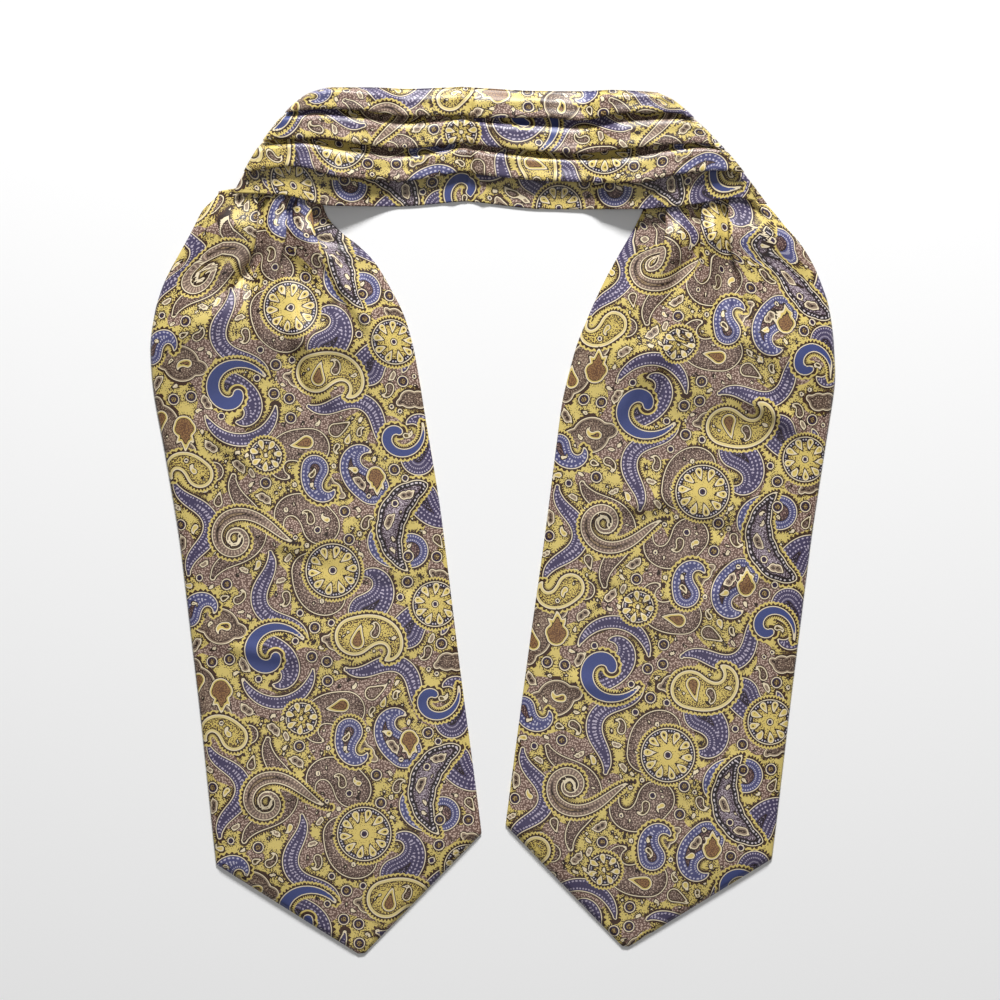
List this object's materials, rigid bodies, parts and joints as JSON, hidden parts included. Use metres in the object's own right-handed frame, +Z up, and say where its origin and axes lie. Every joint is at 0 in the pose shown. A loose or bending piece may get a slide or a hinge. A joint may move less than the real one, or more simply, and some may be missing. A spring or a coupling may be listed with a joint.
{
  "type": "silk cravat",
  "caption": "Silk paisley cravat laid flat, with a knife-pleated neckband and two wide pointed blades gathered at the band.",
  "frame": {"origin": "middle of the table area that the cravat covers, on the table", "axes": "+Y from the blade tips to the neckband, +Z up off the table, +X to the viewer's right"},
  "size_m": [0.3934, 0.4982, 0.0163],
  "materials": {
    "neckband_silk": "printed silk satin, pressed into pleats",
    "blade_silk": "printed silk satin with a soft sheen",
    "folded_silk": "printed silk satin, folded under the band"
  },
  "bodies": {
    "root": {"neckband": "neckband_silk", "fold_left": "folded_silk", "fold_right": "folded_silk", "blade_left_front": "blade_silk", "blade_left_back": "blade_silk", "blade_right_front": "blade_silk", "blade_right_back": "blade_silk"}
  },
  "joints": []
}
